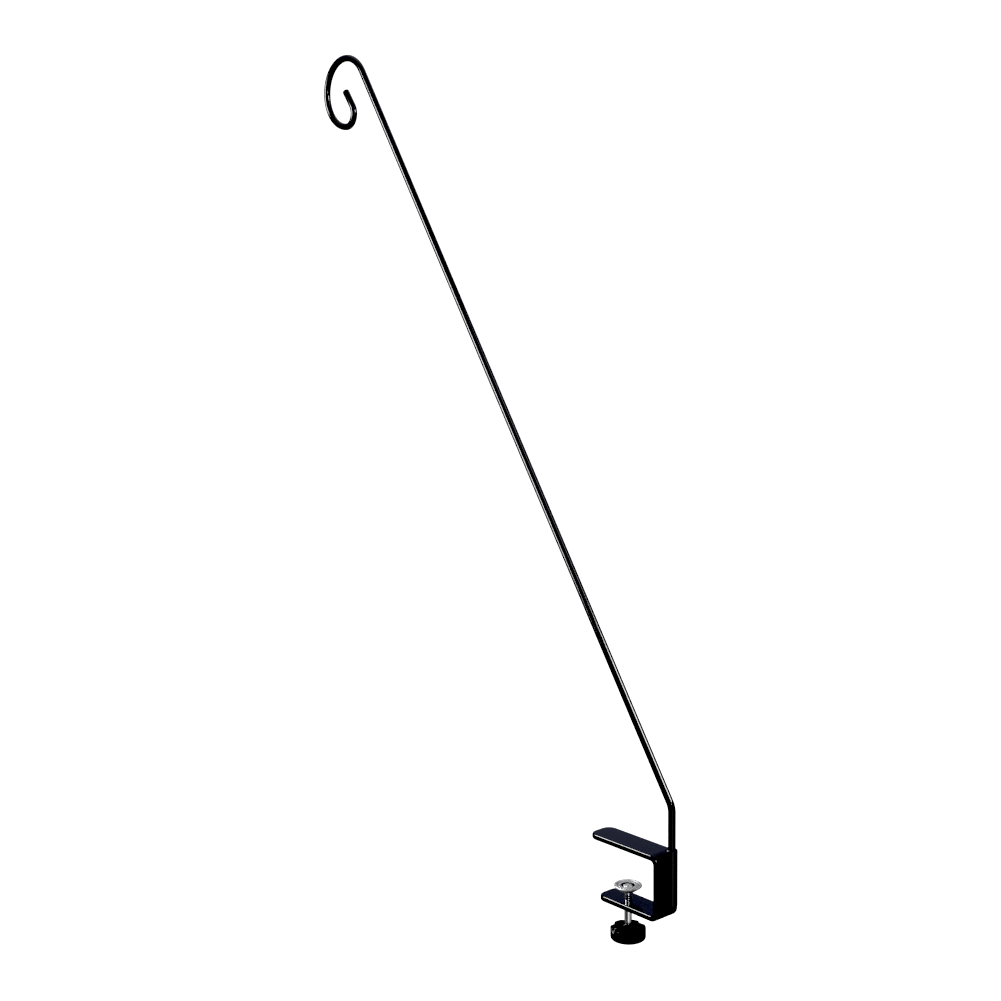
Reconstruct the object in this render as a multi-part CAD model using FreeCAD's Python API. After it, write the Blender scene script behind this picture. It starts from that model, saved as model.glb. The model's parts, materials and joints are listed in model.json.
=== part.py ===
import FreeCAD, Part
import math
import os

V = FreeCAD.Vector

# All sizes are in millimetres.
# Frame: the origin is on the underside of the upper jaw, on the axis of the clamp screw.
# X runs along the jaws towards the web, Y across the strip, Z up.

# Strip and clamp
STRIP_W = 32.0
STRIP_T = 6.0
BEND_IN_R = 4.0
JAW_GAP = 59.5
WEB_OUT_X = 57.0
UPPER_TIP_X = -44.0
LOWER_TIP_X = -31.8
TIP_CORNER_R = 11.0
EDGE_R = 1.8

# Pole
ROD_D = 8.0
POLE_BEND_Z = 58.05
POLE_BEND_R = 20.0
LEAN_DEG = 32.8
LEAN_LEN = 929.2
LOOP_R = 40.25
LOOP_SWEEP = 236.6
TURN_R = 15.1
TURN_SWEEP = 126.4
TIP_LEN = 22.4
TIP_ROUND = 1.2
POLE_FOOT_CHAMFER = 0.8

# Sleeve and welds
SLEEVE_D = 12.0
SLEEVE_TOP_Z = 12.8
SLEEVE_LEN = 59.8
SLEEVE_LIP = 0.3
FLOOR_T = 3.0
POLE_FIT = 0.05
FOOT_GAP = 0.05
WELD_R = 2.6
WELD_OFF_WEB = 1.4
WELD_OFF_MID = 5.0
WELD_TOP_Z = -7.0
WELD_LEN = 37.0

# Screw
SCREW_D = 8.0
SCREW_FIT = 0.05
SCREW_CHAMFER = 0.6
NECK_D = 6.0
NECK_FIT = 0.05
PAD_END_PLAY = 0.05
TIP_HEAD_R = 5.2
TIP_HEAD_H = 2.6
TIP_HEAD_ROUND = 2.0
STUD_IN_KNOB = 12.5

# Pad
PAD_TOP_Z = -43.5
PAD_R = 15.0
PAD_H = 7.5
PAD_EDGE = 0.7
PAD_WALL = 1.6
PAD_RIM_IN_R = 12.2
PAD_RING_R = 10.6
PAD_RING_DROP = 0.5
PAD_GROOVE_DROP = 1.3
PAD_GROOVE_SLOPE = 0.4
PAD_WELL_R = 7.4
PAD_WELL_DROP = 3.2
PAD_HUB_R = 6.5
PAD_HUB_FLARE = 1.8
PAD_HUB_H = 0.9

# Knob
KNOB_TOP_Z = -86.6
KNOB_R = 19.0
KNOB_H = 17.4
KNOB_BOSS_R = 6.5
KNOB_BOSS_H = 1.0
KNOB_BOSS_ROUND = 0.6
KNOB_RIM_DROP = 4.1
KNOB_RIM_ROUND = 1.2
KNOB_FOOT_ROUND = 3.0
KNOB_LOBES = 6
FLUTE_R = 7.0
FLUTE_DEPTH = 3.6
FLUTE_TILT_DEG = 32.0
FIRST_FLUTE_DEG = 21.0

# Derived positions
OUTER_R = BEND_IN_R + STRIP_T
LOWER_TOP_Z = -JAW_GAP
LOWER_BOTTOM_Z = -JAW_GAP - STRIP_T
SLEEVE_R = SLEEVE_D / 2.0
POLE_X = WEB_OUT_X + SLEEVE_R
SLEEVE_BOTTOM_Z = SLEEVE_TOP_Z - SLEEVE_LEN
POLE_FOOT_Z = SLEEVE_BOTTOM_Z + FLOOR_T + FOOT_GAP
ROD_R = ROD_D / 2.0
BORE_R = ROD_R + POLE_FIT
SCREW_R = SCREW_D / 2.0
NECK_R = NECK_D / 2.0
PAD_BOTTOM_Z = PAD_TOP_Z - PAD_H
WELL_FLOOR_Z = PAD_TOP_Z - PAD_WELL_DROP
KNOB_BOTTOM_Z = KNOB_TOP_Z - KNOB_H

# Cuts reach this far past the surfaces that they cut through.
THROUGH = 1.0
SAME_PLACE = 1e-6
SAME_LEVEL = 1e-4
SMOOTH_ANGLE = math.radians(10.0)


def turned(points):
    """Solid of revolution about the screw axis from (r, z) pairs."""
    wire = Part.makePolygon([V(r, 0, z) for r, z in points + points[:1]])
    return Part.Face(wire).revolve(V(0, 0, 0), V(0, 0, 1), 360)


def upright_cylinder(radius, x, y, z_low, z_high):
    return Part.makeCylinder(radius, z_high - z_low, V(x, y, z_low))


def level_edges(shape, z):
    """Edges that lie wholly at one height."""
    boxes = [(e, e.BoundBox) for e in shape.Edges]
    return [e for e, box in boxes if max(abs(box.ZMin - z), abs(box.ZMax - z)) < SAME_LEVEL]


def is_sharp(shape, edge):
    """Whether the two faces along an edge meet at an angle."""
    middle = edge.valueAt((edge.FirstParameter + edge.LastParameter) / 2.0)
    faces = shape.ancestorsOfType(edge, Part.Face)
    normals = [face.normalAt(*face.Surface.parameter(middle)) for face in faces]
    return len(normals) == 2 and normals[0].getAngle(normals[1]) > SMOOTH_ANGLE


def bend_ring(z_mid, z_low):
    """Quarter ring that joins the web to one jaw."""
    x_mid = WEB_OUT_X - OUTER_R
    start = V(x_mid, -STRIP_W / 2.0, z_mid)
    across = V(0, 1, 0)
    block = Part.makeBox(OUTER_R, STRIP_W, OUTER_R, V(x_mid, -STRIP_W / 2.0, z_low))
    outer = Part.makeCylinder(OUTER_R, STRIP_W, start, across)
    inner = Part.makeCylinder(BEND_IN_R, STRIP_W, start, across)
    return block.common(outer).cut(inner)


def jaw(tip_x, z_low):
    """Flat jaw plate with two rounded corners at its free end."""
    length = WEB_OUT_X - OUTER_R - tip_x
    plate = Part.makeBox(length, STRIP_W, STRIP_T, V(tip_x, -STRIP_W / 2.0, z_low))
    end = [e for e in plate.Edges if e.BoundBox.XMax < tip_x + SAME_PLACE]
    corners = [e for e in end if e.BoundBox.YLength < SAME_PLACE]
    return plate.makeFillet(TIP_CORNER_R, corners)


def clamp_bracket():
    web_low = LOWER_TOP_Z + BEND_IN_R
    web_high = -BEND_IN_R
    web_start = V(WEB_OUT_X - STRIP_T, -STRIP_W / 2.0, web_low)
    web = Part.makeBox(STRIP_T, STRIP_W, web_high - web_low, web_start)
    body = web.fuse([
        bend_ring(web_high, web_high),
        bend_ring(web_low, web_low - OUTER_R),
        jaw(UPPER_TIP_X, 0.0),
        jaw(LOWER_TIP_X, LOWER_BOTTOM_Z),
    ]).removeSplitter()
    body = body.makeFillet(EDGE_R, [e for e in body.Edges if is_sharp(body, e)])
    hole = upright_cylinder(SCREW_R + SCREW_FIT, 0, 0, LOWER_BOTTOM_Z - THROUGH, LOWER_TOP_Z + THROUGH)
    return body.cut(hole)


def sleeve_bar():
    """The sleeve before it is bored."""
    return upright_cylinder(SLEEVE_R, POLE_X, 0, SLEEVE_BOTTOM_Z, SLEEVE_TOP_Z)


def pole_sleeve():
    bar = sleeve_bar()
    rims = level_edges(bar, SLEEVE_BOTTOM_Z) + level_edges(bar, SLEEVE_TOP_Z)
    bore = upright_cylinder(BORE_R, POLE_X, 0, SLEEVE_BOTTOM_Z - THROUGH, SLEEVE_TOP_Z + THROUGH)
    return bar.makeChamfer(SLEEVE_LIP, rims).cut(bore)


def sleeve_floor():
    return upright_cylinder(BORE_R, POLE_X, 0, SLEEVE_BOTTOM_Z, SLEEVE_BOTTOM_Z + FLOOR_T)


def weld_bead(side):
    """Convex bead in the corner between sleeve and web."""
    x = WEB_OUT_X + WELD_OFF_WEB
    y = side * WELD_OFF_MID
    low = WELD_TOP_Z - WELD_LEN
    ends = [Part.makeSphere(WELD_R, V(x, y, z)) for z in (low, WELD_TOP_Z)]
    bead = upright_cylinder(WELD_R, x, y, low, WELD_TOP_Z).fuse(ends)
    web = Part.makeBox(STRIP_T, STRIP_W, JAW_GAP, V(WEB_OUT_X - STRIP_T, -STRIP_W / 2.0, LOWER_TOP_Z))
    return bead.cut(sleeve_bar()).cut(web).removeSplitter()


def sleeve_welds():
    return Part.makeCompound([weld_bead(1), weld_bead(-1)])


def turn_points(start, heading, radius, sweep):
    """Three points of an arc that turns left in the XZ plane, with the heading at its end."""
    mid_x = start.x - radius * math.sin(heading)
    mid_z = start.z + radius * math.cos(heading)
    points = []
    for share in (0.0, 0.5, 1.0):
        h = heading + sweep * share
        points.append(V(mid_x + radius * math.sin(h), 0, mid_z - radius * math.cos(h)))
    return points, heading + sweep


def pole_path():
    """Centre line of the rod from its foot to the end of the turned-up tip."""
    lean = math.radians(LEAN_DEG)
    back = POLE_BEND_R * math.tan(lean / 2.0)
    point = V(POLE_X, 0, POLE_BEND_Z - back)
    edges = [Part.makeLine(V(POLE_X, 0, POLE_FOOT_Z), point)]
    heading = math.pi / 2.0
    stretches = [
        (POLE_BEND_R, lean, LEAN_LEN - back),
        (LOOP_R, math.radians(LOOP_SWEEP), 0.0),
        (TURN_R, math.radians(TURN_SWEEP), TIP_LEN),
    ]
    for radius, sweep, straight in stretches:
        points, heading = turn_points(point, heading, radius, sweep)
        edges.append(Part.Arc(*points).toShape())
        point = points[2]
        if straight > 0.0:
            ahead = point + V(math.cos(heading) * straight, 0, math.sin(heading) * straight)
            edges.append(Part.makeLine(point, ahead))
            point = ahead
    return Part.Wire(edges), point


def pole():
    path, tip = pole_path()
    ring = Part.Wire([Part.makeCircle(ROD_R, V(POLE_X, 0, POLE_FOOT_Z), V(0, 0, 1))])
    rod = path.makePipeShell([ring], True, False)
    rod = rod.makeChamfer(POLE_FOOT_CHAMFER, level_edges(rod, POLE_FOOT_Z))
    ends = [e for e in rod.Edges if e.isClosed() and e.CenterOfMass.distanceToPoint(tip) < SAME_PLACE]
    return rod.makeFillet(TIP_ROUND, ends)


def clamp_screw():
    shoulder_z = PAD_BOTTOM_Z - PAD_END_PLAY
    head_z = WELL_FLOOR_Z + PAD_END_PLAY
    thread = upright_cylinder(SCREW_R, 0, 0, KNOB_TOP_Z - STUD_IN_KNOB, shoulder_z)
    thread = thread.makeChamfer(SCREW_CHAMFER, level_edges(thread, shoulder_z))
    neck = upright_cylinder(NECK_R, 0, 0, shoulder_z, head_z)
    head = upright_cylinder(TIP_HEAD_R, 0, 0, head_z, head_z + TIP_HEAD_H)
    head = head.makeFillet(TIP_HEAD_ROUND, level_edges(head, head_z + TIP_HEAD_H))
    return thread.fuse([neck, head]).removeSplitter()


def swivel_pad():
    bore_r = NECK_R + NECK_FIT
    ring_z = PAD_TOP_Z - PAD_RING_DROP
    groove_z = PAD_TOP_Z - PAD_GROOVE_DROP
    wall_z = PAD_TOP_Z - PAD_WALL
    points = [
        (bore_r, WELL_FLOOR_Z),
        (PAD_WELL_R, WELL_FLOOR_Z),
        (PAD_WELL_R, ring_z),
        (PAD_RING_R, ring_z),
        (PAD_RING_R + PAD_GROOVE_SLOPE, groove_z),
        (PAD_RIM_IN_R - PAD_GROOVE_SLOPE, groove_z),
        (PAD_RIM_IN_R, PAD_TOP_Z),
        (PAD_R - PAD_EDGE, PAD_TOP_Z),
        (PAD_R, PAD_TOP_Z - PAD_EDGE),
        (PAD_R, wall_z),
        (PAD_R - PAD_EDGE, wall_z - PAD_EDGE),
        (PAD_HUB_R + PAD_HUB_FLARE, PAD_BOTTOM_Z + PAD_HUB_H),
        (PAD_HUB_R, PAD_BOTTOM_Z),
        (bore_r, PAD_BOTTOM_Z),
    ]
    return turned(points)


def flute_cutter(turn, rim_z):
    """Cylinder that leans in over the knob and leaves a scoop in its rim."""
    tilt = math.radians(FLUTE_TILT_DEG)
    reach = KNOB_R - FLUTE_DEPTH + FLUTE_R / math.cos(tilt)
    outward = V(math.cos(turn), math.sin(turn), 0)
    along = V(0, 0, math.cos(tilt)) - outward * math.sin(tilt)
    start = outward * reach + V(0, 0, rim_z) - along * KNOB_H
    return Part.makeCylinder(FLUTE_R, 2.0 * KNOB_H, start, along)


def screw_knob():
    rim_z = KNOB_TOP_Z - KNOB_RIM_DROP
    body = turned([
        (0.0, KNOB_TOP_Z),
        (KNOB_BOSS_R, KNOB_TOP_Z),
        (KNOB_BOSS_R, KNOB_TOP_Z - KNOB_BOSS_H),
        (KNOB_R, rim_z),
        (KNOB_R, KNOB_BOTTOM_Z),
        (0.0, KNOB_BOTTOM_Z),
    ])
    body = body.makeFillet(KNOB_BOSS_ROUND, level_edges(body, KNOB_TOP_Z))
    body = body.makeFillet(KNOB_RIM_ROUND, level_edges(body, rim_z))
    body = body.makeFillet(KNOB_FOOT_ROUND, level_edges(body, KNOB_BOTTOM_Z))
    for k in range(KNOB_LOBES):
        body = body.cut(flute_cutter(math.radians(FIRST_FLUTE_DEG + 360.0 * k / KNOB_LOBES), rim_z))
    return body.cut(upright_cylinder(SCREW_R, 0, 0, KNOB_TOP_Z - STUD_IN_KNOB, KNOB_TOP_Z + THROUGH))


PARTS = {
    "clamp_bracket": clamp_bracket,
    "pole_sleeve": pole_sleeve,
    "sleeve_floor": sleeve_floor,
    "sleeve_welds": sleeve_welds,
    "pole": pole,
    "clamp_screw": clamp_screw,
    "swivel_pad": swivel_pad,
    "screw_knob": screw_knob,
}

os.makedirs("parts", exist_ok=True)
for name, make in PARTS.items():
    shape = make()
    shape.exportStep("parts/" + name + ".step")
    size = shape.BoundBox
    print(name, shape.isValid(), len(shape.Solids), round(shape.Volume, 1), size)
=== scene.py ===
import json
import math
from typing import NamedTuple

import bmesh
import bpy
from bpy.props import FloatProperty, FloatVectorProperty, IntProperty, PointerProperty
from mathutils import Matrix, Vector


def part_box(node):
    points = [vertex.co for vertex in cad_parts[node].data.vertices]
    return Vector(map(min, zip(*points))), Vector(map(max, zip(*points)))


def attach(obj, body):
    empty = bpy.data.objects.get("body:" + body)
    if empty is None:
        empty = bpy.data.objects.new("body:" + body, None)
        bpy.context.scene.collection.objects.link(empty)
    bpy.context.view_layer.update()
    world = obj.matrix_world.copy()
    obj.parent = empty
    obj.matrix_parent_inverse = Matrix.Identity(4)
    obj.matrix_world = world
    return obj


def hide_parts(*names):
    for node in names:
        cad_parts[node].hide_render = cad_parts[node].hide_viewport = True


bl_info = {
    "name": "Deck rail hook",
    "version": (1, 0, 0),
    "blender": (4, 5, 0),
    "location": "View3D > Sidebar > Deck hook",
    "description": "Dresses a clamp-on deck rail hook: pole, welds, screw, pad, knob, finishes and studio",
    "category": "Object",
}

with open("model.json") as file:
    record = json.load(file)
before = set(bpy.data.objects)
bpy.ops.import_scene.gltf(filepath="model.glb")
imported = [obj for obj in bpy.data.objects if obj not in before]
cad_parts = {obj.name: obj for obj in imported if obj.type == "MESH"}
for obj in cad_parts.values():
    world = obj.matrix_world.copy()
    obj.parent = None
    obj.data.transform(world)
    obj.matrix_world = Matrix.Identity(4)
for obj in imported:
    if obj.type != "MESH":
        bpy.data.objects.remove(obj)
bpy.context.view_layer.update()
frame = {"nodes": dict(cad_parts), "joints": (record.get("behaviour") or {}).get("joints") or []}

# Places that the packed model gives, in metres.
joints = {joint["name"]: joint for joint in frame["joints"]}
POLE_X = joints["pole_swivel"]["pos_m"][0]
POLE_FOOT_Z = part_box("pole")[0].z
WEB_OUT_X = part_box("clamp_bracket")[1].x
WELD_LOW_Z, WELD_HIGH_Z = (corner.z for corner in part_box("sleeve_welds"))
PAD_LOW_Z, PAD_TOP_Z = (corner.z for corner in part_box("swivel_pad"))
PAD_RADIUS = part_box("swivel_pad")[1].x
SCREW_LOW_Z, SCREW_TOP_Z = (corner.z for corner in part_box("clamp_screw"))
KNOB_LOW_Z, KNOB_TOP_Z = (corner.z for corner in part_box("screw_knob"))

FULL_TURN = 2.0 * math.pi

# How meshes are made: angle of a sharp edge, distances of merging and cutting, facets in a rounding.
SHARP_ANGLE = math.radians(38.0)
MERGE_DISTANCE = 2e-6
CUT_DISTANCE = 1e-7
ROUND_STEPS = 5


# Properties


def length(name, description, default):
    return FloatProperty(name=name, description=description, default=default, unit="LENGTH", precision=5)


def angle(name, description, degrees):
    return FloatProperty(name=name, description=description, default=math.radians(degrees), subtype="ANGLE")


def count(name, description, default):
    return IntProperty(name=name, description=description, default=default, min=3)


def share(name, description, default):
    return FloatProperty(
        name=name, description=description, default=default, min=0.0, max=1.0, subtype="FACTOR"
    )


def colour(name, description, default):
    return FloatVectorProperty(
        name=name, description=description, default=default, size=3, min=0.0, max=1.0, subtype="COLOR"
    )


class PoleSizes(bpy.types.PropertyGroup):
    """Sizes of the bent rod."""

    diameter: length("Rod diameter", "Diameter of the round rod", 0.008)
    bend_height: length("Bend height", "Height of the corner where the rod starts to lean", 0.05805)
    bend_radius: length("Bend radius", "Centre line radius of the lower bend", 0.020)
    lean: angle("Lean", "Lean of the long stretch from upright", 32.8)
    lean_length: length("Lean length", "Length of the long stretch, from the corner to the loop", 0.9292)
    loop_radius: length("Loop radius", "Centre line radius of the loop", 0.04025)
    loop_sweep: angle("Loop sweep", "Angle that the loop goes round", 236.6)
    turn_radius: length("Turn radius", "Centre line radius of the tight turn inside the loop", 0.0151)
    turn_sweep: angle("Turn sweep", "Angle of the tight turn", 126.4)
    tip_length: length("Tip length", "Straight stretch at the end of the rod", 0.0224)
    tip_round: length("Tip rounding", "Rounding of the cut end", 0.0012)
    foot_chamfer: length("Foot chamfer", "Chamfer at the foot of the rod", 0.0008)
    sides: count("Sides", "Facets round the rod", 48)
    bend_steps: count("Bend steps", "Facets along the lower bend", 14)
    loop_steps: count("Loop steps", "Facets along the loop", 110)
    turn_steps: count("Turn steps", "Facets along the tight turn", 44)


class WeldSizes(bpy.types.PropertyGroup):
    """Sizes of the two weld beads beside the sleeve."""

    radius: length("Bead radius", "Radius of a bead", 0.0022)
    off_web: length("Off the web", "Distance of a bead's middle from the web", 0.0016)
    off_middle: length("Off the middle", "Distance of a bead's middle from the middle plane", 0.0053)
    end_share: share("End share", "Width of a bead's ends as a share of its full width", 0.3)
    ripples: count("Ripples", "Ripples along one bead", 22)
    sides: count("Sides", "Facets round a bead", 20)


class ScrewSizes(bpy.types.PropertyGroup):
    """Sizes of the clamp screw."""

    diameter: length("Thread diameter", "Outer diameter of the thread", 0.008)
    pitch: length("Pitch", "Travel of one turn of the thread", 0.00125)
    thread_depth: length("Thread depth", "Depth of the thread", 0.0003)
    crest: share("Crest", "Share of the pitch that is flat crest", 0.82)
    neck_diameter: length("Neck diameter", "Diameter of the neck that turns in the pad", 0.006)
    head_radius: length("Head radius", "Radius of the peened head above the pad's well", 0.0052)
    head_height: length("Head height", "Height of the peened head", 0.0026)
    head_round: length("Head rounding", "Rounding of the peened head", 0.0020)
    head_edge: length("Head edge", "Rounding of the head's lower edge", 0.0002)
    dimple_radius: length("Dimple radius", "Radius of the dimple in the peened head", 0.001875)
    dimple_floor: length("Dimple floor", "Radius of the dimple's floor", 0.0009)
    dimple_depth: length("Dimple depth", "Depth of the dimple", 0.00035)
    dimple_round: length("Dimple rounding", "Rounding of the dimple's edges", 0.0003)
    end_play: length("End play", "Gap between the pad and the screw's shoulder", 0.00005)
    steps: count("Steps per turn", "Facets in one turn of the thread", 40)
    tip_steps: count("Tip steps", "Facets round the neck and the head", 64)


class PadSizes(bpy.types.PropertyGroup):
    """Sizes of the dished pad."""

    rim_inner: length("Rim inner radius", "Inner radius of the raised rim", 0.0122)
    rim_inner_round: length("Rim inner rounding", "Rounding of the rim's inner edge", 0.0004)
    rim_round: length("Rim rounding", "Rounding of the rim's outer edge", 0.0010)
    groove_slope: length("Groove slope", "How far the groove's walls lean in", 0.0004)
    groove_drop: length("Groove drop", "Depth of the groove inside the rim", 0.0013)
    groove_round: length("Groove rounding", "Rounding in the groove's corners", 0.0002)
    ring_radius: length("Ring radius", "Outer radius of the ring inside the groove", 0.0106)
    ring_drop: length("Ring drop", "Drop of the ring below the rim", 0.0005)
    ring_round: length("Ring rounding", "Rounding of the ring's edges and of the well's corner", 0.0003)
    well_radius: length("Well radius", "Radius of the well around the screw's head", 0.0074)
    well_slope: length("Well slope", "How far the well's wall leans in", 0.0004)
    well_drop: length("Well drop", "Depth of the well below the rim", 0.0032)
    bore_radius: length("Bore radius", "Radius of the hole for the screw's neck", 0.00305)
    edge_height: length("Edge height", "Height of the upright edge of the rim", 0.0017)
    edge_round: length("Edge rounding", "Rounding at both ends of the taper below the edge", 0.0004)
    taper_width: length("Taper width", "How far the taper below the edge goes in", 0.0012)
    taper_drop: length("Taper drop", "How far that taper goes down", 0.0007)
    hub_radius: length("Hub radius", "Radius of the hub under the pad", 0.0065)
    hub_round: length("Hub rounding", "Rounding of the hub's lower edge", 0.0004)
    flare_width: length("Flare width", "How far the hub flares out", 0.0018)
    flare_height: length("Flare height", "Height of that flare", 0.0009)
    flare_round: length("Flare rounding", "Rounding where the flare meets the underside", 0.0012)
    steps: count("Steps", "Facets round the pad", 120)


class KnobSizes(bpy.types.PropertyGroup):
    """Sizes of the hand knob."""

    radius: length("Radius", "Radius over the lobes", 0.019)
    boss_radius: length("Boss radius", "Radius of the low boss round the screw", 0.0065)
    boss_height: length("Boss height", "Height of the boss", 0.0010)
    boss_round: length("Boss rounding", "Rounding of the boss's upper edge", 0.0006)
    boss_foot_round: length("Boss foot rounding", "Rounding at the foot of the boss", 0.0003)
    rim_drop: length("Rim drop", "Drop from the top of the boss to the rim of the lobes", 0.0041)
    rim_round: length("Rim rounding", "Rounding of the upper rim", 0.0012)
    foot_round: length("Foot rounding", "Rounding of the lower rim", 0.0030)
    bore_radius: length("Bore radius", "Radius of the hole for the screw", 0.004)
    bore_depth: length("Bore depth", "Depth of the hole for the screw", 0.0125)
    chamfer_width: length("Chamfer width", "Width of the chamfer round the screw", 0.0007)
    chamfer_depth: length("Chamfer depth", "Depth of that chamfer", 0.0006)
    chamfer_round: length("Chamfer rounding", "Rounding of the chamfer's upper edge", 0.0002)
    core_radius: length("Core radius", "Radius inside which the flutes leave the knob as it is", 0.006)
    flute_radius: length("Flute radius", "Radius of a flute between two lobes", 0.007)
    flute_depth: length("Flute depth", "Depth of a flute at the rim", 0.0036)
    flute_tilt: angle("Flute tilt", "Lean of a flute towards the screw", 32.0)
    softness: length("Softness", "Rounding where lobe and flute meet", 0.0004)
    lobes: count("Lobes", "Lobes round the knob", 6)
    first_flute: angle("First flute", "Direction of the first flute from the X axis", 21.0)
    steps_per_lobe: count("Steps per lobe", "Facets in one lobe", 32)
    mesh_step: length("Mesh step", "Longest facet from the screw to the foot", 0.0009)


class Finishes(bpy.types.PropertyGroup):
    """Colours of the finishes."""

    enamel: colour("Enamel", "Black enamel on the strip, sleeve, welds and pole", (0.0022, 0.0022, 0.0027))
    enamel_haze: colour("Enamel haze", "Enamel where it has a faint haze", (0.0040, 0.0040, 0.0050))
    plate: colour("Plating", "Bright plating of the screw", (0.83, 0.83, 0.82))
    plate_dull: colour("Dull plating", "Plating where it is duller", (0.66, 0.66, 0.66))
    satin: colour("Satin plating", "Satin plating of the pad", (0.50, 0.50, 0.49))
    satin_dull: colour("Dull satin plating", "Satin plating where it is duller", (0.42, 0.42, 0.42))
    # Painted shade: this dark colour stands in for the shade in the thread's roots and in the pad's groove
    # and well.
    painted_shade: colour("Grime", "Dark grease in the thread and in the pad", (0.010, 0.010, 0.010))
    plastic: colour("Plastic", "Black plastic of the knob", (0.0025, 0.0025, 0.0025))
    plastic_haze: colour("Plastic haze", "Plastic where it is slightly greyer", (0.0050, 0.0050, 0.0048))
    floor: colour("Floor", "Pale floor", (0.93, 0.93, 0.93))


class StageSizes(bpy.types.PropertyGroup):
    """Camera, floor and light."""

    camera_place: FloatVectorProperty(
        name="Camera place",
        description="Where the camera stands",
        default=(1.09859, -1.11202, 0.60164),
        size=3,
        subtype="TRANSLATION",
        unit="LENGTH",
    )
    camera_azimuth: angle("Camera azimuth", "Turn of the camera about the upright", 49.395)
    camera_dip: angle("Camera dip", "How far the camera looks down", 8.468)
    camera_roll: angle("Camera roll", "Turn of the camera about its own line of sight", -0.832)
    lens: FloatProperty(
        name="Lens", description="Focal length on a 36 mm sensor", default=55.488, unit="CAMERA", min=1.0
    )
    view_distance: length("View distance", "How far the camera sees", 200.0)
    black_level: share("Black level", "Light that still shows as black, as in a contrasty print", 0.05)
    floor_drop: length("Floor drop", "How far the floor lies below the rail", 0.95)
    floor_radius: length("Floor radius", "Radius of the floor", 40.0)
    floor_sides: count("Floor sides", "Facets round the floor", 96)


# Shader graphs


# Sockets of a Mix node that mixes colours.
MIX_FACTOR, MIX_A, MIX_B, MIX_RESULT = 0, 6, 7, 2


class Shade:
    """One output in a node graph. Arithmetic on shades adds Math nodes to the graph."""

    def __init__(self, graph, socket):
        self.graph = graph
        self.socket = socket

    def math(self, operation, first, second):
        return self.graph.node("ShaderNodeMath", {"operation": operation}, {0: first, 1: second})

    def __add__(self, other):
        return self.math("ADD", self, other)

    def __radd__(self, other):
        return self.math("ADD", other, self)

    def __sub__(self, other):
        return self.math("SUBTRACT", self, other)

    def __rsub__(self, other):
        return self.math("SUBTRACT", other, self)

    def __mul__(self, other):
        return self.math("MULTIPLY", self, other)

    def __rmul__(self, other):
        return self.math("MULTIPLY", other, self)

    def __pow__(self, other):
        return self.math("POWER", self, other)

    def __rpow__(self, other):
        return self.math("POWER", other, self)


class Graph:
    """The nodes of one material or of the world."""

    def __init__(self, tree):
        self.tree = tree
        self.tree.nodes.clear()

    def node(self, kind, settings=None, values=None, output=0):
        """Adds a node, sets it up and returns one of its outputs."""
        made = self.tree.nodes.new(kind)
        for name, setting in (settings or {}).items():
            if name == "stops":
                self.set_stops(made.color_ramp, setting)
            else:
                setattr(made, name, setting)
        for name, value in (values or {}).items():
            if isinstance(value, Shade):
                self.tree.links.new(value.socket, made.inputs[name])
            else:
                made.inputs[name].default_value = value
        return Shade(self, made.outputs[output]) if made.outputs else None

    def set_stops(self, ramp, stops):
        """Sets a colour ramp to stops of a place and a colour."""
        while len(ramp.elements) < len(stops):
            ramp.elements.new(1.0)
        for element, (place, tint) in zip(ramp.elements, stops):
            element.position = place
            element.color = (*tint, 1.0)

    def place(self):
        """Object coordinates, in metres."""
        return self.node("ShaderNodeTexCoord", output="Object")

    def axes(self, vector):
        """The three coordinates of a vector."""
        return [self.node("ShaderNodeSeparateXYZ", values={0: vector}, output=axis) for axis in "XYZ"]

    def step(self, value, low, high):
        """Rises smoothly from 0 at one value to 1 at another."""
        values = {"Value": value, "From Min": low, "From Max": high}
        return self.node("ShaderNodeMapRange", {"interpolation_type": "SMOOTHSTEP"}, values)

    def noise(self, size, detail):
        """Noise with blots about one size across, from 0 to 1."""
        values = {"Vector": self.place(), "Scale": 1.0 / size, "Detail": detail}
        return self.node("ShaderNodeTexNoise", values=values, output="Fac")

    def blend(self, factor, first, second):
        """Colour between two colours with alpha, or between two links."""
        values = {MIX_FACTOR: factor, MIX_A: first, MIX_B: second}
        return self.node("ShaderNodeMix", {"data_type": "RGBA"}, values, MIX_RESULT)

    def mix(self, factor, first, second):
        """Colour between two named colours."""
        return self.blend(factor, (*first, 1.0), (*second, 1.0))

    def blots(self, texture):
        """The large blots of a finish, from 0 to 1."""
        return self.noise(texture.blot_size, texture.blot_detail)

    def gloss(self, texture, blots):
        """Roughness of a finish, which follows its blots."""
        return texture.roughness + blots * texture.blot_roughness

    def relief(self, texture):
        """The fine relief of a finish."""
        height = self.noise(texture.relief_size, texture.relief_detail)
        values = {"Height": height, "Distance": texture.relief_depth, "Strength": texture.relief_strength}
        return self.node("ShaderNodeBump", values=values, output="Normal")

    def surface(self, values):
        """Ends a material in one Principled shader."""
        shader = self.node("ShaderNodeBsdfPrincipled", values=values)
        self.node("ShaderNodeOutputMaterial", values={"Surface": shader})


# Materials


class Texture(NamedTuple):
    """Large blots, fine relief and gloss of a finish, with sizes and depth in metres."""

    blot_size: float
    blot_detail: float
    relief_size: float
    relief_detail: float
    relief_depth: float
    relief_strength: float
    roughness: float
    blot_roughness: float


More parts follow.
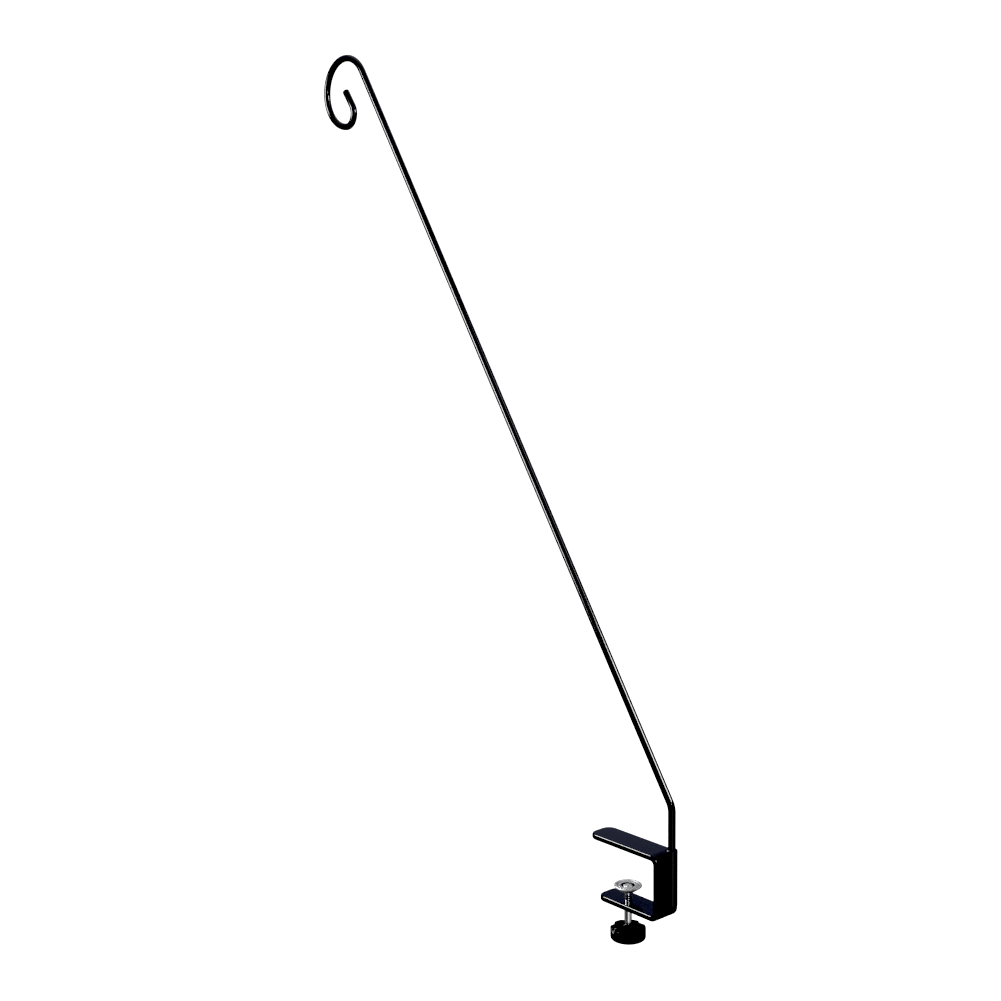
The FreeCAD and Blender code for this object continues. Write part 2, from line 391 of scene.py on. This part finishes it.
ENAMEL = Texture(
    blot_size=0.045,
    blot_detail=3.0,
    relief_size=0.0016,
    relief_detail=1.0,
    relief_depth=0.00012,
    relief_strength=0.10,
    roughness=0.10,
    blot_roughness=0.07,
)
BRIGHT_PLATE = Texture(
    blot_size=0.006,
    blot_detail=4.0,
    relief_size=0.0007,
    relief_detail=2.0,
    relief_depth=0.00006,
    relief_strength=0.12,
    roughness=0.48,
    blot_roughness=0.10,
)
SATIN_PLATE = BRIGHT_PLATE._replace(blot_size=0.004, roughness=0.54, blot_roughness=0.08)
PLASTIC = Texture(
    blot_size=0.012,
    blot_detail=3.0,
    relief_size=0.0012,
    relief_detail=1.0,
    relief_depth=0.00008,
    relief_strength=0.08,
    roughness=0.17,
    blot_roughness=0.10,
)
ENAMEL_IOR = 1.5
PLASTIC_IOR = 1.3

# The screw: where the head's finish ends, how much smoother the stem is, and painted shade by depth in the
# thread.
STEM_EDGE = 0.0002
STEM_POLISH = 0.32
THREAD_SHADE_START = 0.00003
THREAD_SHADE_FULL = 0.00010

# The pad: painted shade by depth below the ring, how far it reaches over the rim and down the well, and its
# fading.
PAD_SHADE_START = 0.0001
PAD_SHADE_FULL = 0.0004
PAD_SHADE_OVER_RIM = 0.0004
PAD_SHADE_RIM_FADE = 0.0003
PAD_SHADE_INTO_WELL = 0.00015
PAD_SHADE_WELL_FADE = 0.0001
# Share of the painted shade taken away in the groove.
GROOVE_SHADE_CUT = 0.5

# The floor: faint clouds and the tone of their darker parts.
FLOOR_CLOUD_SIZE = 0.8
FLOOR_CLOUD_DETAIL = 2.0
FLOOR_CLOUD_TONE = 0.985
FLOOR_ROUGHNESS = 0.7


def finish(name):
    """A material of that name, made once, with its graph if it is new."""
    material = bpy.data.materials.get(name)
    if material:
        return material, None
    material = bpy.data.materials.new(name)
    material.use_nodes = True
    return material, Graph(material.node_tree)


def black_enamel(colours):
    """Glossy black enamel with the faint ripple of a baked coat."""
    material, graph = finish("black_enamel")
    if graph:
        haze = graph.blots(ENAMEL)
        graph.surface({
            "Base Color": graph.mix(haze, colours.enamel, colours.enamel_haze),
            "Roughness": graph.gloss(ENAMEL, haze),
            "IOR": ENAMEL_IOR,
            "Normal": graph.relief(ENAMEL),
        })
    return material


def bright_plating(colours, sizes):
    """Bright plating of the screw, with painted shade in the thread's flanks and roots and a duller peened
    head.
    """
    material, graph = finish("bright_plating")
    if graph:
        patches = graph.blots(BRIGHT_PLATE)
        x, y, z = graph.axes(graph.place())
        radius = (x * x + y * y) ** 0.5
        stem = graph.step(PAD_LOW_Z - z, 0.0, STEM_EDGE)
        depth = sizes.diameter / 2.0 - radius
        # Painted shade: below the crest, the thread's flanks and roots turn dark and non-metal in place of
        # the shade in these recesses.
        painted_shade = stem * graph.step(depth, THREAD_SHADE_START, THREAD_SHADE_FULL)
        head_plate = graph.mix(patches, colours.satin, colours.satin_dull)
        stem_plate = graph.mix(patches, colours.plate, colours.plate_dull)
        plate = graph.blend(stem, head_plate, stem_plate)
        graph.surface({
            "Base Color": graph.blend(painted_shade, plate, (*colours.painted_shade, 1.0)),
            "Metallic": 1.0 - painted_shade,
            "Roughness": graph.gloss(BRIGHT_PLATE, patches) - stem * STEM_POLISH,
            "Normal": graph.relief(BRIGHT_PLATE),
        })
    return material


def satin_plating(colours, sizes):
    """Satin plating of the pad, with painted shade in its groove and its well."""
    material, graph = finish("satin_plating")
    if graph:
        patches = graph.blots(SATIN_PLATE)
        x, y, z = graph.axes(graph.place())
        radius = (x * x + y * y) ** 0.5
        depth = PAD_TOP_Z - z
        sunk = graph.step(depth, sizes.ring_drop + PAD_SHADE_START, sizes.ring_drop + PAD_SHADE_FULL)
        above_floor = graph.step(sizes.well_drop + PAD_SHADE_INTO_WELL - depth, 0.0, PAD_SHADE_WELL_FADE)
        inside = graph.step(sizes.rim_inner + PAD_SHADE_OVER_RIM - radius, 0.0, PAD_SHADE_RIM_FADE)
        groove = graph.step(radius, sizes.well_radius, sizes.ring_radius)
        # Painted shade: the well and the groove turn dark and non-metal in place of the shade in these
        # recesses, less dark in the groove.
        painted_shade = sunk * above_floor * inside * (1.0 - groove * GROOVE_SHADE_CUT)
        plate = graph.mix(patches, colours.satin, colours.satin_dull)
        graph.surface({
            "Base Color": graph.blend(painted_shade, plate, (*colours.painted_shade, 1.0)),
            "Metallic": 1.0 - painted_shade,
            "Roughness": graph.gloss(SATIN_PLATE, patches),
            "Normal": graph.relief(SATIN_PLATE),
        })
    return material


def black_plastic(colours):
    """Glossy moulded plastic."""
    material, graph = finish("black_plastic")
    if graph:
        haze = graph.blots(PLASTIC)
        graph.surface({
            "Base Color": graph.mix(haze, colours.plastic, colours.plastic_haze),
            "Roughness": graph.gloss(PLASTIC, haze),
            "IOR": PLASTIC_IOR,
            "Normal": graph.relief(PLASTIC),
        })
    return material


def pale_floor(colours):
    """Pale matt floor with faint clouds."""
    material, graph = finish("pale_floor")
    if graph:
        cloud = graph.noise(FLOOR_CLOUD_SIZE, FLOOR_CLOUD_DETAIL)
        darker = [FLOOR_CLOUD_TONE * tone for tone in colours.floor]
        graph.surface({
            "Base Color": graph.mix(cloud, colours.floor, darker),
            "Roughness": FLOOR_ROUGHNESS,
            "Specular IOR Level": 0.0,
        })
    return material


# Mesh helpers


def of_type(geometry, kind):
    """The vertices, edges or faces of what an operator gives back."""
    return [item for item in geometry if isinstance(item, kind)]


def ring_verts(ring):
    """The vertices of an edge ring, each once and in the same order in every run."""
    return list(dict.fromkeys(vert for edge in ring for vert in edge.verts))


def middle_of(ring):
    verts = ring_verts(ring)
    return sum((vert.co for vert in verts), Vector()) / len(verts)


def start_ring(bm, radius, sides, place):
    """A capped circle that a rod starts from."""
    made = bmesh.ops.create_circle(
        bm, cap_ends=True, radius=radius, segments=sides, matrix=Matrix.Translation(place)
    )
    return list(dict.fromkeys(edge for vert in made["verts"] for edge in vert.link_edges))


def push_ring(bm, ring, along):
    """Extrudes an edge ring along a vector and returns the new ring."""
    made = bmesh.ops.extrude_edge_only(bm, edges=ring)["geom"]
    verts = set(of_type(made, bmesh.types.BMVert))
    bmesh.ops.translate(bm, verts=list(verts), vec=along)
    return [edge for edge in of_type(made, bmesh.types.BMEdge) if set(edge.verts) <= verts]


def scale_ring(bm, ring, factor):
    """Widens or narrows a level ring about its middle."""
    middle = middle_of(ring)
    bmesh.ops.scale(
        bm, vec=(factor, factor, 1.0), verts=ring_verts(ring), space=Matrix.Translation(-middle)
    )


def round_edges(bm, edges, radius):
    bmesh.ops.bevel(
        bm, geom=edges, offset=radius, offset_type="OFFSET", segments=ROUND_STEPS,
        profile=0.5, affect="EDGES", material=-1,
    )


def draw_outline(bm, corners, closed=False):
    """A wire in the XZ plane from (radius, height, rounding) corners."""
    verts = [bm.verts.new((radius, 0.0, height)) for radius, height, _ in corners]
    ends = verts[1:] + verts[:1] if closed else verts[1:]
    for first, second in zip(verts, ends):
        bm.edges.new((first, second))
    for vert, (_, _, rounding) in zip(verts, corners):
        if rounding:
            bmesh.ops.bevel(
                bm, geom=[vert], offset=rounding, offset_type="OFFSET", segments=ROUND_STEPS,
                profile=0.5, affect="VERTICES", material=-1,
            )


def divide_outline(bm, longest):
    """Splits the wire's long edges."""
    for edge in list(bm.edges):
        cuts = int(edge.calc_length() / longest)
        if cuts:
            bmesh.ops.subdivide_edges(bm, edges=[edge], cuts=cuts)


def spin_outline(bm, steps):
    """Spins the wire once about the screw axis."""
    bmesh.ops.spin(
        bm, geom=bm.verts[:] + bm.edges[:], cent=(0, 0, 0), axis=(0, 0, 1),
        angle=FULL_TURN, steps=steps, use_merge=True,
    )
    bmesh.ops.remove_doubles(bm, verts=bm.verts, dist=MERGE_DISTANCE)


def add_piece(bm, name, body, slot, material, *nodes):
    """Makes the bmesh a piece that rides on a body and stands for CAD nodes."""
    bmesh.ops.recalc_face_normals(bm, faces=bm.faces)
    mesh = bpy.data.meshes.new(name)
    bm.to_mesh(mesh)
    bm.free()
    mesh.polygons.foreach_set("use_smooth", [True] * len(mesh.polygons))
    mesh.set_sharp_from_angle(angle=SHARP_ANGLE)
    mesh.materials.append(material)
    piece = bpy.data.objects.new(name, mesh)
    bpy.context.scene.collection.objects.link(piece)
    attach(piece, body)
    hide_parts(*nodes)
    return piece


def paint_node(node, material):
    """Gives a CAD node its finish."""
    node = frame["nodes"][node]
    node.data.materials.clear()
    node.data.materials.append(material)


# Pieces


class DECKHOOK_OT_clamp(bpy.types.Operator):
    """Enamel the bent strip, the sleeve and the sleeve's floor"""

    bl_idname = "deckhook.clamp"
    bl_label = "Clamp"
    bl_options = {"REGISTER", "UNDO"}

    def execute(self, context):
        enamel = black_enamel(context.scene.deckhook_finishes)
        for node in ("clamp_bracket", "pole_sleeve", "sleeve_floor"):
            paint_node(node, enamel)
        return {"FINISHED"}


class DECKHOOK_OT_pole(bpy.types.Operator):
    """Bend the rod: foot, lean, loop, tight turn and tip"""

    bl_idname = "deckhook.pole"
    bl_label = "Pole"
    bl_options = {"REGISTER", "UNDO"}

    def bend(self, bm, ring, heading, radius, sweep, steps):
        """Sweeps a ring round an arc that turns left in the XZ plane."""
        side = Vector((-math.sin(heading), 0.0, math.cos(heading)))
        made = bmesh.ops.spin(
            bm, geom=ring, cent=middle_of(ring) + side * radius, axis=(0, -1, 0), angle=sweep, steps=steps
        )
        return of_type(made["geom_last"], bmesh.types.BMEdge), heading + sweep

    def execute(self, context):
        sizes = context.scene.deckhook_pole
        bm = bmesh.new()
        foot = start_ring(bm, sizes.diameter / 2.0, sizes.sides, (POLE_X, 0.0, POLE_FOOT_Z))
        setback = sizes.bend_radius * math.tan(sizes.lean / 2.0)
        heading = math.pi / 2.0
        ring = push_ring(bm, foot, (0.0, 0.0, sizes.bend_height - setback - POLE_FOOT_Z))
        stretches = (
            (sizes.bend_radius, sizes.lean, sizes.bend_steps, sizes.lean_length - setback),
            (sizes.loop_radius, sizes.loop_sweep, sizes.loop_steps, 0.0),
            (sizes.turn_radius, sizes.turn_sweep, sizes.turn_steps, sizes.tip_length),
        )
        for radius, sweep, steps, straight in stretches:
            ring, heading = self.bend(bm, ring, heading, radius, sweep, steps)
            if straight:
                ahead = Vector((math.cos(heading), 0.0, math.sin(heading)))
                ring = push_ring(bm, ring, ahead * straight)
        bmesh.ops.edgeloop_fill(bm, edges=ring)
        round_edges(bm, ring, sizes.tip_round)
        round_edges(bm, foot, sizes.foot_chamfer)
        enamel = black_enamel(context.scene.deckhook_finishes)
        add_piece(bm, "bent_rod", "hook_pole", "black_paint", enamel, "pole")
        return {"FINISHED"}


class DECKHOOK_OT_welds(bpy.types.Operator):
    """Lay a rippled weld bead on each side of the sleeve"""

    bl_idname = "deckhook.welds"
    bl_label = "Weld beads"
    bl_options = {"REGISTER", "UNDO"}

    # Radius over one ripple, as shares of the bead's radius.
    RIPPLE = (0.90, 0.97, 1.0, 0.96)

    def bead(self, bm, sizes, side):
        """One bead from its lower to its upper end, with domed ends."""
        levels = sizes.ripples * len(self.RIPPLE)
        rise = (WELD_HIGH_Z - WELD_LOW_Z) / levels
        radius = sizes.radius * sizes.end_share
        place = (WEB_OUT_X + sizes.off_web, side * sizes.off_middle, WELD_LOW_Z)
        ring = start_ring(bm, radius, sizes.sides, place)
        for level in range(1, levels + 1):
            ring = push_ring(bm, ring, (0.0, 0.0, rise))
            from_end = min(level, levels - level) * rise
            dome = math.sqrt(max(0.0, 1.0 - (1.0 - min(1.0, from_end / sizes.radius)) ** 2))
            wanted = sizes.radius * self.RIPPLE[level % len(self.RIPPLE)] * max(sizes.end_share, dome)
            scale_ring(bm, ring, wanted / radius)
            radius = wanted
        bmesh.ops.edgeloop_fill(bm, edges=ring)

    def execute(self, context):
        sizes = context.scene.deckhook_welds
        bm = bmesh.new()
        for side in (-1.0, 1.0):
            self.bead(bm, sizes, side)
        enamel = black_enamel(context.scene.deckhook_finishes)
        add_piece(bm, "weld_beads", "clamp", "black_paint", enamel, "sleeve_welds")
        return {"FINISHED"}


class DECKHOOK_OT_screw(bpy.types.Operator):
    """Roll the thread of the clamp screw and peen its tip"""

    bl_idname = "deckhook.screw"
    bl_label = "Clamp screw"
    bl_options = {"REGISTER", "UNDO"}

    def thread(self, bm, sizes, low_z, high_z):
        """A right-hand thread, cut flat at both ends."""
        crest = sizes.diameter / 2.0
        root = crest - sizes.thread_depth
        pitch = sizes.pitch
        start_z = low_z - pitch
        turns = math.ceil((high_z - low_z) / pitch) + 2
        flank = (1.0 - sizes.crest) * pitch / 2.0
        draw_outline(bm, [
            (root, start_z, 0.0),
            (crest, start_z + flank, 0.0),
            (crest, start_z + pitch - flank, 0.0),
            (root, start_z + pitch, 0.0),
        ])
        bmesh.ops.spin(
            bm, geom=bm.verts[:] + bm.edges[:], cent=(0, 0, 0), axis=(0, 0, 1),
            dvec=(0.0, 0.0, pitch / sizes.steps), angle=FULL_TURN * turns, steps=sizes.steps * turns,
        )
        bmesh.ops.remove_doubles(bm, verts=bm.verts, dist=MERGE_DISTANCE)
        for height, above in ((low_z, False), (high_z, True)):
            cut = bmesh.ops.bisect_plane(
                bm, geom=bm.verts[:] + bm.edges[:] + bm.faces[:], dist=CUT_DISTANCE, plane_co=(0, 0, height),
                plane_no=(0, 0, 1), clear_outer=above, clear_inner=not above,
            )
            bmesh.ops.edgeloop_fill(bm, edges=of_type(cut["geom_cut"], bmesh.types.BMEdge))

    def tip(self, bm, sizes, shoulder_z):
        """Neck and peened head, in a bmesh of their own."""
        neck = sizes.neck_diameter / 2.0
        head_z = SCREW_TOP_Z - sizes.head_height
        top_z = SCREW_TOP_Z
        draw_outline(bm, [
            (0.0, shoulder_z, 0.0),
            (neck, shoulder_z, 0.0),
            (neck, head_z, 0.0),
            (sizes.head_radius, head_z, sizes.head_edge),
            (sizes.head_radius, top_z, sizes.head_round),
            (sizes.dimple_radius, top_z, sizes.dimple_round),
            (sizes.dimple_floor, top_z - sizes.dimple_depth, sizes.dimple_round),
            (0.0, top_z - sizes.dimple_depth, 0.0),
        ])
        spin_outline(bm, sizes.tip_steps)

    def execute(self, context):
        sizes = context.scene.deckhook_screw
        shoulder_z = PAD_LOW_Z - sizes.end_play
        tip = bmesh.new()
        self.tip(tip, sizes, shoulder_z)
        tip_mesh = bpy.data.meshes.new("screw_tip")
        tip.to_mesh(tip_mesh)
        tip.free()
        bm = bmesh.new()
        self.thread(bm, sizes, SCREW_LOW_Z, shoulder_z)
        bm.from_mesh(tip_mesh)
        bpy.data.meshes.remove(tip_mesh)
        bright = bright_plating(context.scene.deckhook_finishes, sizes)
        add_piece(bm, "threaded_screw", "hand_screw", "bright_plate", bright, "clamp_screw")
        return {"FINISHED"}


class DECKHOOK_OT_pad(bpy.types.Operator):
    """Turn the dished pad that presses on the rail"""

    bl_idname = "deckhook.pad"
    bl_label = "Pad"
    bl_options = {"REGISTER", "UNDO"}

    def execute(self, context):
        sizes = context.scene.deckhook_pad
        top = PAD_TOP_Z
        ring_z = top - sizes.ring_drop
        groove_z = top - sizes.groove_drop
        well_z = top - sizes.well_drop
        edge_z = top - sizes.edge_height
        bm = bmesh.new()
        draw_outline(bm, [
            (sizes.bore_radius, well_z, 0.0),
            (sizes.well_radius - sizes.well_slope, well_z, sizes.ring_round),
            (sizes.well_radius, ring_z, sizes.ring_round),
            (sizes.ring_radius, ring_z, sizes.ring_round),
            (sizes.ring_radius + sizes.groove_slope, groove_z, sizes.groove_round),
            (sizes.rim_inner - sizes.groove_slope, groove_z, sizes.groove_round),
            (sizes.rim_inner, top, sizes.rim_inner_round),
            (PAD_RADIUS, top, sizes.rim_round),
            (PAD_RADIUS, edge_z, sizes.edge_round),
            (PAD_RADIUS - sizes.taper_width, edge_z - sizes.taper_drop, sizes.edge_round),
            (sizes.hub_radius + sizes.flare_width, PAD_LOW_Z + sizes.flare_height, sizes.flare_round),
            (sizes.hub_radius, PAD_LOW_Z, sizes.hub_round),
            (sizes.bore_radius, PAD_LOW_Z, 0.0),
        ], closed=True)
        spin_outline(bm, sizes.steps)
        satin = satin_plating(context.scene.deckhook_finishes, sizes)
        add_piece(bm, "pressure_pad", "pad", "bright_plate", satin, "swivel_pad")
        return {"FINISHED"}


class DECKHOOK_OT_knob(bpy.types.Operator):
    """Mould the lobed knob on the lower end of the screw"""

    bl_idname = "deckhook.knob"
    bl_label = "Knob"
    bl_options = {"REGISTER", "UNDO"}

    def flute_limit(self, sizes, place):
        """Distance from the axis to the nearest flute's wall at the height of a place."""
        spacing = FULL_TURN / sizes.lobes
        turn = math.atan2(place.y, place.x) - sizes.first_flute
        off = (turn + spacing / 2.0) % spacing - spacing / 2.0
        below_rim = KNOB_TOP_Z - sizes.rim_drop - place.z
        depth = sizes.flute_depth - below_rim * math.tan(sizes.flute_tilt)
        reach = sizes.radius - depth + sizes.flute_radius
        inside = sizes.flute_radius ** 2 - (reach * math.sin(off)) ** 2
        return reach * math.cos(off) - math.sqrt(inside) if inside > 0.0 else reach

    def press_flutes(self, bm, sizes):
        """Draws the side in to the flutes, with a soft edge where lobe and flute meet."""
        for vert in bm.verts:
            radius = math.hypot(vert.co.x, vert.co.y)
            if radius <= sizes.core_radius:
                continue
            limit = self.flute_limit(sizes, vert.co)
            pressed = radius - sizes.softness * math.log1p(math.exp((radius - limit) / sizes.softness))
            vert.co.x *= pressed / radius
            vert.co.y *= pressed / radius

    def execute(self, context):
        sizes = context.scene.deckhook_knob
        top = KNOB_TOP_Z
        bm = bmesh.new()
        draw_outline(bm, [
            (0.0, top - sizes.bore_depth, 0.0),
            (sizes.bore_radius, top - sizes.bore_depth, 0.0),
            (sizes.bore_radius, top - sizes.chamfer_depth, 0.0),
            (sizes.bore_radius + sizes.chamfer_width, top, sizes.chamfer_round),
            (sizes.boss_radius, top, sizes.boss_round),
            (sizes.boss_radius, top - sizes.boss_height, sizes.boss_foot_round),
            (sizes.radius, top - sizes.rim_drop, sizes.rim_round),
            (sizes.radius, KNOB_LOW_Z, sizes.foot_round),
            (0.0, KNOB_LOW_Z, 0.0),
        ])
        divide_outline(bm, sizes.mesh_step)
        spin_outline(bm, sizes.lobes * sizes.steps_per_lobe)
        self.press_flutes(bm, sizes)
        plastic = black_plastic(context.scene.deckhook_finishes)
        add_piece(bm, "hand_knob", "hand_screw", "black_knob", plastic, "screw_knob")
        return {"FINISHED"}


class Softbox(NamedTuple):
    """A lamp: its place, aim, direction of its height, sizes in metres and spread in degrees."""

    name: str
    place: tuple
    aim: tuple
    along: tuple
    height: float
    width: float
    radiance: float
    spread: float = 180.0
    off_bracket: bool = False


class DECKHOOK_OT_stage(bpy.types.Operator):
    """Set the pale floor, the studio light and the camera"""

    bl_idname = "deckhook.stage"
    bl_label = "Stage"
    bl_options = {"REGISTER", "UNDO"}

    # Points that the lamps are aimed at.
    MIDDLE = (-0.1, 0.0, 0.3)
    JAWS = (0.0, -0.016, -0.028)
    SOFTBOXES = (
        Softbox(
            "right_softbox", place=(1.63, 0.45, 1.38), aim=MIDDLE, along=(-0.27, 0.96, 0.0),
            height=0.9, width=0.6, radiance=26.0,
        ),
        Softbox(
            "right_fill", place=(1.30, 0.59, 2.02), aim=MIDDLE, along=(-0.40, 0.90, 0.0),
            height=0.9, width=0.9, radiance=2.0,
        ),
        Softbox(
            "right_strip", place=(1.68, -0.78, 0.712), aim=JAWS, along=(0.0, 0.0, 1.0),
            height=0.14, width=0.2, radiance=60.0,
        ),
        Softbox(
            "left_softbox", place=(-3.90, -7.10, 1.88), aim=MIDDLE, along=(-1.27, 0.88, 2.76),
            height=3.5, width=2.8, radiance=25.0, off_bracket=True,
        ),
        Softbox(
            "jaw_softbox", place=(-0.39, -0.231, 0.375), aim=JAWS, along=(0.0, 0.82, 0.58),
            height=0.22, width=0.22, radiance=3.2, spread=58.0,
        ),
    )
    # Light that the eye and the floor take from all around.
    WHITE = (1.3, 1.3, 1.3, 1.0)
    # Light that gloss mirrors from above, by the height of its direction.
    SKY = (
        (0.0, (0.04, 0.04, 0.04)),
        (0.17, (0.05, 0.05, 0.05)),
        (0.27, (0.365, 0.375, 0.455)),
        (0.5, (0.365, 0.375, 0.455)),
        (0.8, (0.8, 0.8, 0.83)),
        (1.0, (0.95, 0.95, 0.95)),
    )
    # Light that gloss mirrors from below, by bearing: 0.25 is -Y, 0.5 is +X and 0.75 is +Y.
    GROUND = (
        (0.0, (0.06, 0.06, 0.06)),
        (0.06, (0.20, 0.20, 0.20)),
        (0.16, (0.20, 0.20, 0.20)),
        (0.24, (0.07, 0.07, 0.07)),
        (0.34, (0.09, 0.09, 0.09)),
        (0.38, (1.25, 1.25, 1.25)),
        (0.47, (1.25, 1.25, 1.25)),
        (0.52, (0.40, 0.40, 0.40)),
        (0.63, (0.38, 0.38, 0.38)),
        (0.7, (0.05, 0.05, 0.05)),
        (1.0, (0.05, 0.05, 0.05)),
    )
    # How sharply the ground gives way to the sky.
    HORIZON_SHARPNESS = 12.0
    # Steepness at which the pale floor right below begins and is full, and that floor's light.
    UNDERFOOT = (0.72, 0.86)
    UNDERFOOT_LIGHT = (0.6, 0.6, 0.6, 1.0)

    def floor(self, context, sizes):
        """Lays the floor, which gloss doesn't mirror."""
        bm = bmesh.new()
        bmesh.ops.create_circle(
            bm, cap_ends=True, radius=sizes.floor_radius, segments=sizes.floor_sides,
            matrix=Matrix.Translation((0.0, 0.0, -sizes.floor_drop)),
        )
        mesh = bpy.data.meshes.new("floor")
        bm.to_mesh(mesh)
        bm.free()
        mesh.materials.append(pale_floor(context.scene.deckhook_finishes))
        floor = bpy.data.objects.new("floor", mesh)
        floor.visible_glossy = False
        context.scene.collection.objects.link(floor)

    def softbox(self, context, box):
        """Hangs a lamp, kept off the bracket where the flat jaws would mirror it."""
        light = bpy.data.lights.new(box.name, "AREA")
        light.shape = "RECTANGLE"
        light.size = box.width
        light.size_y = box.height
        light.spread = math.radians(box.spread)
        light.energy = box.radiance * math.pi * box.width * box.height
        back = (Vector(box.place) - Vector(box.aim)).normalized()
        side = Vector(box.along).cross(back).normalized()
        lamp = bpy.data.objects.new(box.name, light)
        lamp.matrix_world = Matrix((side, back.cross(side), back)).transposed().to_4x4()
        lamp.location = box.place
        lamp.visible_camera = False
        context.scene.collection.objects.link(lamp)
        if box.off_bracket:
            flag = bpy.data.collections.new(f"{box.name}_flag")
            flag.objects.link(frame["nodes"]["clamp_bracket"])
            flag.collection_objects[0].light_linking.link_state = "EXCLUDE"
            lamp.light_linking.receiver_collection = flag

    def surroundings(self, context):
        """White for the eye and the floor; for gloss, a dim sky over a ground that is bright on one side."""
        world = bpy.data.worlds.new("studio")
        world.use_nodes = True
        graph = Graph(world.node_tree)
        x, y, rise = graph.axes(graph.node("ShaderNodeTexCoord", output="Generated"))
        turn = graph.node("ShaderNodeMath", {"operation": "ARCTAN2"}, {0: y, 1: x})
        bearing = turn * (1.0 / FULL_TURN) + 0.5
        sky = graph.node("ShaderNodeValToRGB", {"stops": self.SKY}, {"Fac": rise}, "Color")
        ground = graph.node("ShaderNodeValToRGB", {"stops": self.GROUND}, {"Fac": bearing}, "Color")
        below = graph.blend(graph.step(rise * -1.0, *self.UNDERFOOT), ground, self.UNDERFOOT_LIGHT)
        mirrored = graph.blend(rise * self.HORIZON_SHARPNESS + 0.5, below, sky)
        glossy = graph.node("ShaderNodeLightPath", output="Is Glossy Ray")
        light = graph.blend(glossy, self.WHITE, mirrored)
        background = graph.node("ShaderNodeBackground", values={"Color": light})
        graph.node("ShaderNodeOutputWorld", values={"Surface": background})
        world.cycles.sampling_method = "NONE"
        context.scene.world = world

    def camera(self, context, sizes):
        """Sets the camera where the photograph was taken from."""
        data = bpy.data.cameras.new("camera")
        data.lens = sizes.lens
        data.clip_end = sizes.view_distance
        camera = bpy.data.objects.new("camera", data)
        turn = Matrix.Rotation(sizes.camera_azimuth, 4, "Z")
        dip = Matrix.Rotation(math.pi / 2.0 - sizes.camera_dip, 4, "X")
        roll = Matrix.Rotation(sizes.camera_roll, 4, "Z")
        camera.matrix_world = Matrix.Translation(sizes.camera_place) @ turn @ dip @ roll
        context.scene.collection.objects.link(camera)
        context.scene.camera = camera

    def execute(self, context):
        sizes = context.scene.deckhook_stage
        self.floor(context, sizes)
        for box in self.SOFTBOXES:
            self.softbox(context, box)
        self.surroundings(context)
        self.camera(context, sizes)
        view = context.scene.view_settings
        view.view_transform = "Standard"
        view.use_curve_mapping = True
        view.curve_mapping.black_level = [sizes.black_level] * 3
        view.curve_mapping.update()
        return {"FINISHED"}


# Add-on


class DECKHOOK_PT_panel(bpy.types.Panel):
    """Lists the pieces and their sizes"""

    bl_idname = "DECKHOOK_PT_panel"
    bl_label = "Deck rail hook"
    bl_space_type = "VIEW_3D"
    bl_region_type = "UI"
    bl_category = "Deck hook"

    def draw(self, context):
        for operator in OPERATORS:
            self.layout.operator(operator.bl_idname)
        for name, group in GROUPS.items():
            box = self.layout.box()
            box.label(text=group.__doc__)
            for size in group.__annotations__:
                box.prop(getattr(context.scene, name), size)


GROUPS = {
    "deckhook_pole": PoleSizes,
    "deckhook_welds": WeldSizes,
    "deckhook_screw": ScrewSizes,
    "deckhook_pad": PadSizes,
    "deckhook_knob": KnobSizes,
    "deckhook_finishes": Finishes,
    "deckhook_stage": StageSizes,
}

OPERATORS = (
    DECKHOOK_OT_clamp,
    DECKHOOK_OT_pole,
    DECKHOOK_OT_welds,
    DECKHOOK_OT_screw,
    DECKHOOK_OT_pad,
    DECKHOOK_OT_knob,
    DECKHOOK_OT_stage,
)


def register():
    for name, group in GROUPS.items():
        bpy.utils.register_class(group)
        setattr(bpy.types.Scene, name, PointerProperty(type=group))
    for kind in (*OPERATORS, DECKHOOK_PT_panel):
        bpy.utils.register_class(kind)


def unregister():
    for kind in reversed((*OPERATORS, DECKHOOK_PT_panel)):
        bpy.utils.unregister_class(kind)
    for name, group in GROUPS.items():
        delattr(bpy.types.Scene, name)
        bpy.utils.unregister_class(group)


def main():
    register()
    bpy.ops.deckhook.clamp()
    bpy.ops.deckhook.pole()
    bpy.ops.deckhook.welds()
    bpy.ops.deckhook.screw()
    bpy.ops.deckhook.pad()
    bpy.ops.deckhook.knob()
    bpy.ops.deckhook.stage()


if __name__ == "__main__":
    main()
